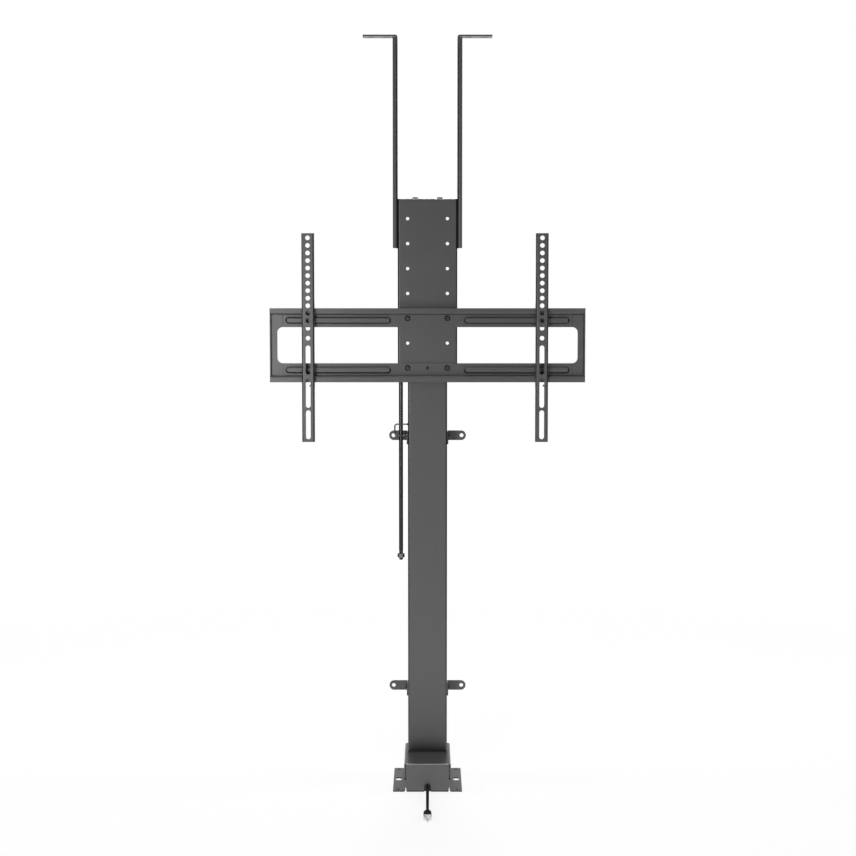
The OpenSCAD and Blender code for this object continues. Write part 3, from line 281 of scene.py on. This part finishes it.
relief_profile = [(0, 0), (0, relief_radius(0) - relief_rim), (relief_rim, relief_radius(0))]
for k in range(groove_count):
    t = relief_length * (grooves_start + grooves_share * k / groove_count)
    relief_profile += [
        (t - groove_w / 2, relief_radius(t)),
        (t - groove_w / 4, relief_radius(t) - groove_depth),
        (t + groove_w / 4, relief_radius(t) - groove_depth),
        (t + groove_w / 2, relief_radius(t)),
    ]
relief_profile += [
    (relief_length - relief_rim, relief_tip_r),
    (relief_length, relief_tip_r - relief_tip_rim),
    (relief_length, 0),
]
relief_mesh = bmesh.new()
turned(relief_mesh, relief_profile, Vector((0, relief_start, relief_z)), (0, -1, 0))
relief = finished(relief_mesh, "ribbed_strain_relief", vinyl, "base")
soften(relief, "soft_grooves", 0.00015)
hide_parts("cord_relief")


# Gland
# A black nylon collar pressed into the notch of the front panel, which holds the relief.
def paint_nodes(finish, *names):
    """Gives the CAD pieces of these names one finish."""
    for name in names:
        paint(nodes[name], finish)


nylon = Finish("black_nylon", (0.014, 0.014, 0.015), 0.5)
nylon.bump(nylon.noise(900, 3), 0.00006, 0.0004)
paint_nodes(nylon, "cord_gland")

# Plug
# A moulded mains plug: a black body that narrows to the cord, with grip ridges on both sides, and a
# pale insulating face that carries two flat blades and a round ground pin.
body_low, body_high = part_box("plug_body")
plug_start = body_high.y
plug_z = (body_low.z + body_high.z) / 2
plug_half_w = (body_high.x - body_low.x) / 2
plug_half_h = (body_high.z - body_low.z) / 2
plug_corner = 0.0032
# Each station: distance from the cord's end, share of the full width, share of the full height
plug_stations = [
    (0.0, 0.45, 0.52), (0.002, 0.5, 0.58), (0.006, 0.56, 0.66), (0.011, 0.74, 0.82), (0.0155, 0.9, 0.94),
    (0.020, 0.99, 0.99), (0.025, 0.985, 0.985), (0.030, 0.96, 0.97), (0.035, 0.985, 0.985),
    (0.040, 1.0, 1.0), (0.0432, 1.0, 1.0), (0.0435, 0.97, 0.97),
]
plug_mesh = bmesh.new()
corners = [
    plug_mesh.verts.new((sx * plug_half_w, plug_start, plug_z + sz * plug_half_h))
    for sx, sz in ((-1, -1), (1, -1), (1, 1), (-1, 1))
]
plug_mesh.faces.new(corners)
bmesh.ops.bevel(
    plug_mesh, geom=corners, offset=plug_corner, affect="VERTICES", segments=6, profile=0.5, material=-1
)
section = plug_mesh.faces[:]
centre_line = Matrix.Translation((0, 0, -plug_z))
last_w, last_h, last_t = 1, 1, 0
for t, wide, high in plug_stations:
    if t > 0:
        grown = bmesh.ops.extrude_face_region(plug_mesh, geom=section)["geom"]
        bmesh.ops.delete(plug_mesh, geom=section, context="FACES_ONLY")
        section = [item for item in grown if isinstance(item, bmesh.types.BMFace)]
    ring = list(dict.fromkeys(vert for face in section for vert in face.verts))
    bmesh.ops.translate(plug_mesh, verts=ring, vec=(0, last_t - t, 0))
    bmesh.ops.scale(plug_mesh, verts=ring, vec=(wide / last_w, 1, high / last_h), space=centre_line)
    last_w, last_h, last_t = wide, high, t
    if t == 0:
        tail_ring = ring
bmesh.ops.contextual_create(plug_mesh, geom=tail_ring)
plug = finished(plug_mesh, "moulded_plug", vinyl, "base")
soften(plug, "soft_rim", 0.0003)
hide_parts("plug_body")

grip_count = 5
grip_pitch = 0.0026
grip_size = (0.0008, 0.0012, plug_half_h * 1.2)
grip_x = plug_half_w - 0.0005
first_grip_y = plug_start - 0.0235
grip_rounding = 0.00025
grip_mesh = bmesh.new()
for side in (-1, 1):
    for k in range(grip_count):
        grip = bmesh.ops.create_cube(grip_mesh, size=1)["verts"]
        bmesh.ops.scale(grip_mesh, verts=grip, vec=grip_size)
        grip_place = (side * grip_x, first_grip_y - k * grip_pitch, plug_z)
        bmesh.ops.translate(grip_mesh, verts=grip, vec=grip_place)
bmesh.ops.bevel(
    grip_mesh, geom=grip_mesh.edges[:], offset=grip_rounding, affect="EDGES", segments=2, profile=0.5,
    material=-1,
)
grips = finished(grip_mesh, "plug_grip_ridges", vinyl, "base")

pale_plastic = Finish("pale_insulator", (0.95, 0.95, 0.94), 0.4)
pale_plastic.tint(pale_plastic.noise(150, 3) * 0.5, (0.92, 0.92, 0.9))
pale_plastic.bump(pale_plastic.noise(800, 2), 0.00002, 0.0004)
paint_nodes(pale_plastic, "plug_face")

nickel = Finish("nickel_plate", (0.92, 0.91, 0.89), 0.3, 0.3)
nickel.set("Roughness", nickel.noise(700, 3, 0.6, (1, 0.05, 1)) * 0.15 + 0.25)
nickel.bump(nickel.noise(1500, 2, 0.6, (1, 0.03, 1)), 0.000003)
paint_nodes(nickel, "plug_pins")

# Base housing
# One folded sheet of 2.5 mm steel: top, front and rear panels, side walls and the two feet, with
# open corner seams. It is powder coated in a dark satin grey with a fine orange-peel skin.
coat_color = (0.094, 0.094, 0.096)
cloud_color = (0.108, 0.108, 0.11)
# The colour of the painted shade, and the colours of the painted highlights on upward bends
painted_shade_color = (0.008, 0.008, 0.008)
painted_highlight_color = (0.19, 0.19, 0.194)
base_painted_highlight_color = (0.42, 0.42, 0.425)
foot_sheet = 0.0025


def powder_coat(name, crease_shade, depth=1.0, painted_highlight=painted_highlight_color):
    """Satin powder coat with painted shade on bends that face sideways or down and in inner corners, a
    painted highlight on bends that face up, and its colour scaled by depth.
    """
    coat = Finish(name, tuple(part * depth for part in coat_color), 0.42)
    coat.tint(coat.noise(14, 4) * 0.5, tuple(part * depth for part in cloud_color))
    # Painted shade on bends that face sideways or down, and a painted highlight on bends that face up
    shaded_bends, highlit_bends = coat.bends()
    coat.tint(highlit_bends * 0.8, painted_highlight)
    coat.tint(shaded_bends * 0.9, painted_shade_color)
    # Painted shade in the coat's inner corners
    coat.tint(coat.crease_shade(**crease_shade), painted_shade_color)
    coat.set("Roughness", coat.noise(30, 3) * 0.08 + 0.27)
    coat.bump(coat.noise(1100, 2), 0.00001, 0.0003)
    return coat


powder = powder_coat("grey_powder_coat", {"reach": 0.0025, "low": 0.08, "high": 0.3})
# The base's coat is the same coat painted lighter by its depth, standing in for more light on the base,
# and its upward bends carry a stronger painted highlight
base_coat = powder_coat("base_powder_coat", {"reach": 0.003}, 1.22, base_painted_highlight_color)
# Painted shade: faces within the feet's sheet thickness of the floor that don't face up are painted as
# dark as the painted shade on bends
above_foot = base_coat.axes(base_coat.place())[2].between(foot_sheet - 0.0003, foot_sheet + 0.0003)
facing_up = base_coat.facing()[2].between(0.3, 0.6)
base_coat.tint((1 - above_foot) * (1 - facing_up), painted_shade_color)
paint_nodes(base_coat, "base_housing")
paint_nodes(powder, "base_bottom_plate")

# Screws
# Black oxide steel with a thin film of oil: the screws of the bottom plate, the long ones of the
# column, and those of the tabs, the bracket, the lid arms and, with washers, the carriage's top.
oxide = Finish("black_oxide", (0.085, 0.085, 0.088), 0.36, 0.4)
oxide.tint(oxide.noise(200, 3) * 0.6, (0.12, 0.12, 0.122))
# Painted shade: the screws' bends, rims and recesses are painted nearly black
for painted_shade_mask in (*oxide.bends(), oxide.crease_shade(0.003)):
    oxide.tint(painted_shade_mask, (0.004, 0.004, 0.004))
oxide.set("Specular IOR Level", 0.35)
oxide.bump(oxide.noise(1400, 2), 0.00001, 0.0003)
paint_nodes(
    oxide, "bottom_plate_screws", "column_screws", "wall_tab_screws", "bracket_bolts",
    "bracket_centre_screw", "lid_arm_bolts", "top_bolts", "top_washers",
)

# Gearbox
# Two die-cast halves of zinc alloy, bolted under the base's top. They hold the steel worm, the bronze
# worm wheel on the lead screw's end, and the bearings of both.
cast = Finish("die_cast_alloy", (0.36, 0.37, 0.38), 0.5, 0.85)
cast.tint(cast.noise(90, 5) * 0.6, (0.24, 0.24, 0.25))
cast.bump(cast.noise(1200, 4), 0.00012, 0.0012)
paint_nodes(cast, "gearbox_housing", "gearbox_cover")

ground = Finish("ground_steel", (0.5, 0.5, 0.51), 0.3, 1.0)
ground.set("Roughness", ground.noise(500, 4, 0.6, (1, 1, 12)) * 0.2 + 0.2)
ground.bump(ground.noise(900, 3, 0.6, (1, 1, 15)), 0.00002, 0.0004)
paint_nodes(ground, "screw_bearings", "worm_bearings", "worm_shaft")

bronze = Finish("cast_bronze", (0.48, 0.3, 0.11), 0.36, 1.0)
bronze.tint(bronze.noise(120, 4) * 0.5, (0.33, 0.19, 0.07))
bronze.bump(bronze.noise(1500, 3), 0.00004, 0.0005)
paint_nodes(bronze, "worm_wheel")

# Lead screw
# A ground steel screw that stands on the worm wheel. The bronze lift nut on it sits in a zinc-plated
# carrier inside the inner column, and lifts everything that moves.
zinc_plate = Finish("zinc_plate", (0.46, 0.47, 0.48), 0.36, 1.0)
zinc_plate.tint(zinc_plate.noise(45, 4) * 0.5, (0.36, 0.37, 0.4))
zinc_plate.set("Roughness", zinc_plate.noise(160, 4) * 0.2 + 0.26)
zinc_plate.bump(zinc_plate.noise(1300, 2), 0.00002, 0.0005)
paint_nodes(ground, "lead_screw")
paint_nodes(bronze, "lift_nut")
paint_nodes(zinc_plate, "nut_carrier")

# Motor
# A direct current motor in a drawn black can with ferrite magnets, a wound rotor on the worm's
# shaft, and a plastic end cap.
paint_nodes(oxide, "motor_can")
paint_nodes(nylon, "motor_end_cap")

ferrite = Finish("ferrite", (0.05, 0.05, 0.053), 0.6)
ferrite.bump(ferrite.noise(1800, 4), 0.00008, 0.0006)
paint_nodes(ferrite, "motor_magnets")

windings = Finish("lacquered_copper", (0.42, 0.15, 0.06), 0.3, 0.9)
windings.tint(windings.noise(500, 3, 0.5, (1, 0.1, 1)) * 0.7, (0.2, 0.06, 0.03))
windings.bump(windings.noise(1400, 2, 0.5, (1, 0.05, 1)), 0.0002)
paint_nodes(windings, "motor_rotor")

# Control box
# A black moulded box with a push-on lid beside the motor. It holds the power supply and the motor's
# control board, which is lacquered green over its copper tracks.
paint_nodes(nylon, "control_box", "control_box_lid")

board = Finish("lacquered_board", (0.02, 0.13, 0.05), 0.35)
cells = {"Vector": board.place(), "Scale": 260.0}
cell_edge = board.node("ShaderNodeTexVoronoi", {"feature": "DISTANCE_TO_EDGE"}, cells)
beside_tracks = cell_edge.between(0.03, 0.06)
board.tint(1 - beside_tracks, (0.05, 0.24, 0.1))
board.bump(beside_tracks, 0.00003, 0.0005)
paint_nodes(board, "circuit_board")

# Outer column
# A rolled and welded rectangular steel tube, powder coated like the base, bolted to the base's top
# through a thick zinc-plated foot plate inside its lower end. Painted shade darkens its coat where
# other pieces are near, most towards the base.
column_coat = powder_coat(
    "column_powder_coat", {"reach": 0.035, "alone": False, "low": 0.0, "high": 0.62}
)
paint_nodes(column_coat, "outer_column")
paint_nodes(zinc_plate, "column_foot_plate")

# Inner column
# A smaller powder coated tube that slides in the outer column, with a thick zinc-plated plate in its
# upper end, on which the carriage is screwed down.
paint_nodes(powder, "inner_column")
paint_nodes(zinc_plate, "inner_top_plate")

# Glide collars
# Collars of black slippery plastic between the two columns: the upper one sits on the outer column's
# top, the lower one is fixed round the inner column.
glide = Finish("black_acetal", (0.018, 0.018, 0.019), 0.32)
glide.bump(glide.noise(700, 3), 0.00004, 0.0005)
paint_nodes(glide, "top_glide_collar", "lower_glide_collar")

# Wall tabs
# Four strips of 3 mm steel with a round end and a screw hole, bent back along the column's sides and
# screwed to them, by which the lift is held to the cabinet's back.
paint_nodes(
    powder, "wall_tab_left_upper", "wall_tab_right_upper", "wall_tab_left_lower", "wall_tab_right_lower"
)

# Guide wire
# A bent steel wire, welded to the column's left side by both ends, which keeps the stop rod in its
# place. The beads are the welds, small and slightly lumpy.
paint_nodes(powder, "rod_guide_wire")
wire_low, wire_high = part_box("rod_guide_wire")
wire_r = (wire_high.y - wire_low.y) / 2
wire_y = (wire_high.y + wire_low.y) / 2
bead_profile = [
    (0, 0.0006), (0, 0.0031), (-0.0005, 0.0030), (-0.0011, 0.0024), (-0.0017, 0.0019), (-0.0022, 0.0014),
]
bead_steps = 20
ripple_depth = 0.00012
ripples_y = 5200
ripples_z = 4300
bead_mesh = bmesh.new()
for z in (wire_high.z - wire_r, wire_low.z + wire_r):
    turned(bead_mesh, bead_profile, Vector((wire_high.x, wire_y, z)), (1, 0, 0), bead_steps)
for vert in bead_mesh.verts:
    vert.co.y += math.sin(vert.co.y * ripples_y + vert.co.z * ripples_z) * ripple_depth
beads = finished(bead_mesh, "wire_weld_beads", powder, "base")

# Carriage
# A folded plate of 3 mm steel that hangs in front of the column: two rows of holes for the bracket,
# short side walls, and a top flange screwed down on the inner column's end plate.
paint_nodes(powder, "carriage_plate")

# TV bracket
# A long plate of 2 mm steel pressed with stepped lips, four raised ribs and one wide window. Four
# bolts with zinc-plated nuts hold it to the carriage.
paint_nodes(powder, "tv_bracket")
paint_nodes(zinc_plate, "bracket_nuts")

# VESA arms
# Two channels of 2.5 mm steel with rows of holes and slots for the television's screws. Hooks in
# their side flanges hang on the bracket's upper lip, so the arms slide along it.
paint_nodes(powder, "left_vesa_arm", "right_vesa_arm")

# Lid arms
# Two angles of 3 mm steel bolted to the carriage's side walls. They rise above the television and
# fold outwards into flanges that carry the cabinet's lid.
paint_nodes(powder, "left_lid_arm", "right_lid_arm")
paint_nodes(zinc_plate, "lid_arm_nuts")

# Stop rod
# A long round rod, blackened, screwed into a zinc-plated boss under the carriage's top flange. The nut
# on its threaded lower end would meet the guide wire if the carriage rose past its highest place.
blackened = Finish("blackened_rod", (0.009, 0.009, 0.0095), 0.2)
blackened.tint(blackened.noise(25, 3, 0.5, (1, 1, 0.2)) * 0.5, (0.014, 0.014, 0.015))
blackened.set("Roughness", blackened.noise(60, 2, 0.5, (1, 1, 0.1)) * 0.06 + 0.22)
blackened.set("Specular IOR Level", 0.7)
blackened.bump(blackened.noise(500, 2, 0.5, (1, 1, 0.1)), 0.000002)
nut_steel = Finish("dull_nut_steel", (0.2, 0.2, 0.205), 0.34, 0.8)
nut_steel.tint(nut_steel.noise(220, 3) * 0.6, (0.14, 0.14, 0.145))
nut_steel.bump(nut_steel.noise(900, 2), 0.000004, 0.0003)
paint_nodes(blackened, "stop_rod")
paint_nodes(nut_steel, "rod_nut")
paint_nodes(zinc_plate, "rod_boss")

rod_low, rod_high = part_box("stop_rod")
rod_axis = Vector(((rod_low.x + rod_high.x) / 2, (rod_low.y + rod_high.y) / 2, 0))
nut_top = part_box("rod_nut")[1].z
thread_core_r = 0.0037
thread_crest_r = 0.00405
thread_pitch = 0.00125
thread_above_nut = 0.006
thread_low = rod_low.z + 0.0014
thread_turns = int((nut_top + thread_above_nut - thread_low - thread_pitch) / thread_pitch)
thread_steps = 24 * thread_turns
thread_profile = [
    (0, thread_core_r),
    (thread_pitch * 0.45, thread_crest_r),
    (thread_pitch * 0.55, thread_crest_r),
    (thread_pitch, thread_core_r),
]
thread_mesh = bmesh.new()
thread_verts = [
    thread_mesh.verts.new(rod_axis + Vector((radius, 0, thread_low + height)))
    for height, radius in thread_profile
]
thread_edges = [thread_mesh.edges.new(pair) for pair in zip(thread_verts, thread_verts[1:])]
bmesh.ops.spin(
    thread_mesh, geom=thread_verts + thread_edges, cent=rod_axis, axis=(0, 0, 1),
    angle=math.tau * thread_turns, steps=thread_steps,
    dvec=(0, 0, thread_pitch * thread_turns / thread_steps),
)
thread = finished(thread_mesh, "stop_rod_thread", blackened, "carriage")


# Floor and light
# A white paper sweep in dark surroundings. A soft key light stands just left of the camera, with two
# small ones nearer the lift, one low in front and one overhead. One high behind and two high at the
# sides light the rear and the sides.
def length(vector):
    """The length of a vector in metres."""
    return vector.maker.node("ShaderNodeVectorMath", {"operation": "LENGTH"}, [vector], output="Value")


def rays(surroundings, kind):
    """1 for the rays of one kind, 0 for all others."""
    return surroundings.node("ShaderNodeLightPath", output=f"Is {kind} Ray")


floor_reach = 14
floor_matt = 0.2
floor_shade = 0.13
floor_bounce = 0.8
paper_half_w = 1.1
paper_fade = 0.7
floor_mesh = bmesh.new()
bmesh.ops.create_grid(floor_mesh, x_segments=1, y_segments=1, size=floor_reach)
floor_data = bpy.data.meshes.new("studio_floor")
floor_mesh.to_mesh(floor_data)
floor_mesh.free()
floor = bpy.data.objects.new("studio_floor", floor_data)
bpy.context.scene.collection.objects.link(floor)
floor_finish = Finish("white_floor", (0.35, 0.35, 0.35), 0.9)
spot = floor_finish.place()
sideways = floor_finish.node("ShaderNodeVectorMath", {"operation": "MULTIPLY"}, [spot, (1, 0, 0)])
paper = 1 - length(sideways).between(paper_half_w, paper_half_w + paper_fade)
nearby = 1 - length(spot).between(0.8, 2.6)
seen = rays(floor_finish, "Camera") + rays(floor_finish, "Transmission")
lit = rays(floor_finish, "Glossy") * (1 - floor_bounce) + floor_bounce
white = 1 - nearby * floor_shade
floor_finish.set("Base Color", nearby * floor_matt)
floor_finish.set("Specular IOR Level", 0.0)
floor_finish.set("Emission Color", seen * (white - lit * paper) + lit * paper)
floor_finish.set("Emission Strength", 1.0)
paint(floor, floor_finish)

ambient = 0.06
world = bpy.data.worlds.new("studio_surroundings")
bpy.context.scene.world = world
world.use_nodes = True
around = Nodes(world.node_tree)
direction = around.node("ShaderNodeTexCoord", output="Generated")
away = around.node("ShaderNodeSeparateXYZ", None, [direction], output="Y")
backdrop = away.between(0.93, 0.995)
shown = rays(around, "Camera") + rays(around, "Transmission") + rays(around, "Glossy") * backdrop
background = world.node_tree.nodes["Background"]
around.put(background.inputs["Color"], (1, 1, 1, 1))
around.put(background.inputs["Strength"], shown * (1 - ambient) + ambient)


def soft_light(name, place, aim, size, watts):
    """A rectangular lamp that the camera doesn't see."""
    data = bpy.data.lights.new(name, "AREA")
    data.shape = "RECTANGLE"
    data.size, data.size_y = size
    data.energy = watts
    lamp = bpy.data.objects.new(name, data)
    lamp.location = place
    lamp.rotation_euler = (Vector(aim) - Vector(place)).to_track_quat("-Z", "Y").to_euler()
    lamp.visible_camera = False
    bpy.context.scene.collection.objects.link(lamp)


soft_light("key_left", (-1.9, -5.6, 0.9), (0, 0, 0.6), (0.9, 0.9), 39)
soft_light("near_left", (-0.62, -1.9, 0.85), (-0.2, 0, 0.9), (0.28, 0.6), 5)
soft_light("near_right", (0.7, -1.9, 0.85), (0.2, 0, 0.9), (0.28, 0.6), 1.5)
soft_light("low_front", (0, -1.3, 0.02), (0, -1.3, 1), (1.2, 1.4), 3)
soft_light("overhead", (0, -0.9, 3.2), (0, 0, 0.3), (0.7, 0.7), 7)
soft_light("rear_high", (0, 2.0, 3.0), (0, 0, 0.9), (0.8, 0.8), 45)
soft_light("side_high_left", (-2.6, 0.5, 1.9), (0, 0, 0.8), (0.7, 0.7), 16)
soft_light("side_high_right", (2.6, 0.5, 1.9), (0, 0, 0.8), (0.7, 0.7), 16)
bpy.context.scene.view_settings.view_transform = "Standard"
